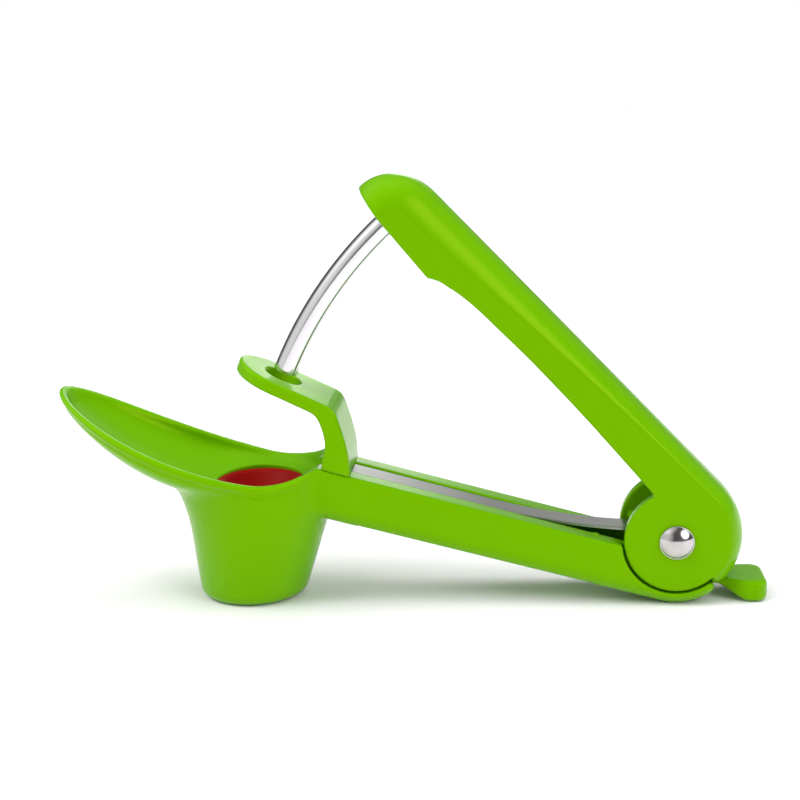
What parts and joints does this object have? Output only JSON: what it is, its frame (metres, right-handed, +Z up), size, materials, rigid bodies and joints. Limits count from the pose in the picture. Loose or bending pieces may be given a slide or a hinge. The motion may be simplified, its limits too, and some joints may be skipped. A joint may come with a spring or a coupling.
{
  "type": "hand-held fruit pitter",
  "caption": "Hand-held lever pitter with a spoon-shaped cup, a curved plunger rod, a leaf return spring and a tail lock tab.",
  "frame": {"origin": "on the table under the middle of the whole object, lever open", "axes": "+X along the object from the spoon to the lock tab, +Z up, Y across"},
  "size_m": [0.1759, 0.039, 0.1059],
  "materials": {
    "lime_plastic": "glossy moulded plastic",
    "lime_plastic_bracket": "glossy moulded plastic",
    "lime_plastic_lever": "glossy moulded plastic",
    "lime_plastic_tab": "glossy moulded plastic",
    "dark_red_plastic": "satin soft plastic",
    "screw_steel": "turned",
    "spring_steel": "satin rolled strip",
    "rod_steel": "polished",
    "pin_steel": "ground",
    "rivet_steel": "polished dome",
    "rivet_cap_steel": "polished dome"
  },
  "bodies": {
    "base": {"base_body": "lime_plastic", "fruit_seat": "dark_red_plastic", "guide_bracket": "lime_plastic_bracket", "bracket_screw": "screw_steel", "leaf_spring": "spring_steel", "pivot_rivet": "rivet_steel", "rivet_cap": "rivet_cap_steel"},
    "lever": {"lever": "lime_plastic_lever", "plunger_rod": "rod_steel", "rod_pin": "pin_steel"},
    "lock": {"lock_tab": "lime_plastic_tab"}
  },
  "joints": [
    {"name": "lever_hinge", "type": "hinge", "parent": "base", "child": "lever", "pos_m": [0.0653, 0, 0.0162], "axis": [0, -1, 0], "range_deg": [0, 24], "stiffness_Nm_per_rad": 0.9, "springref_deg": -20.05, "deforming": ["leaf_spring"]},
    {"name": "lock_slide", "type": "slide", "parent": "base", "child": "lock", "axis": [1, 0, 0], "range_m": [0, 0.005]}
  ]
}
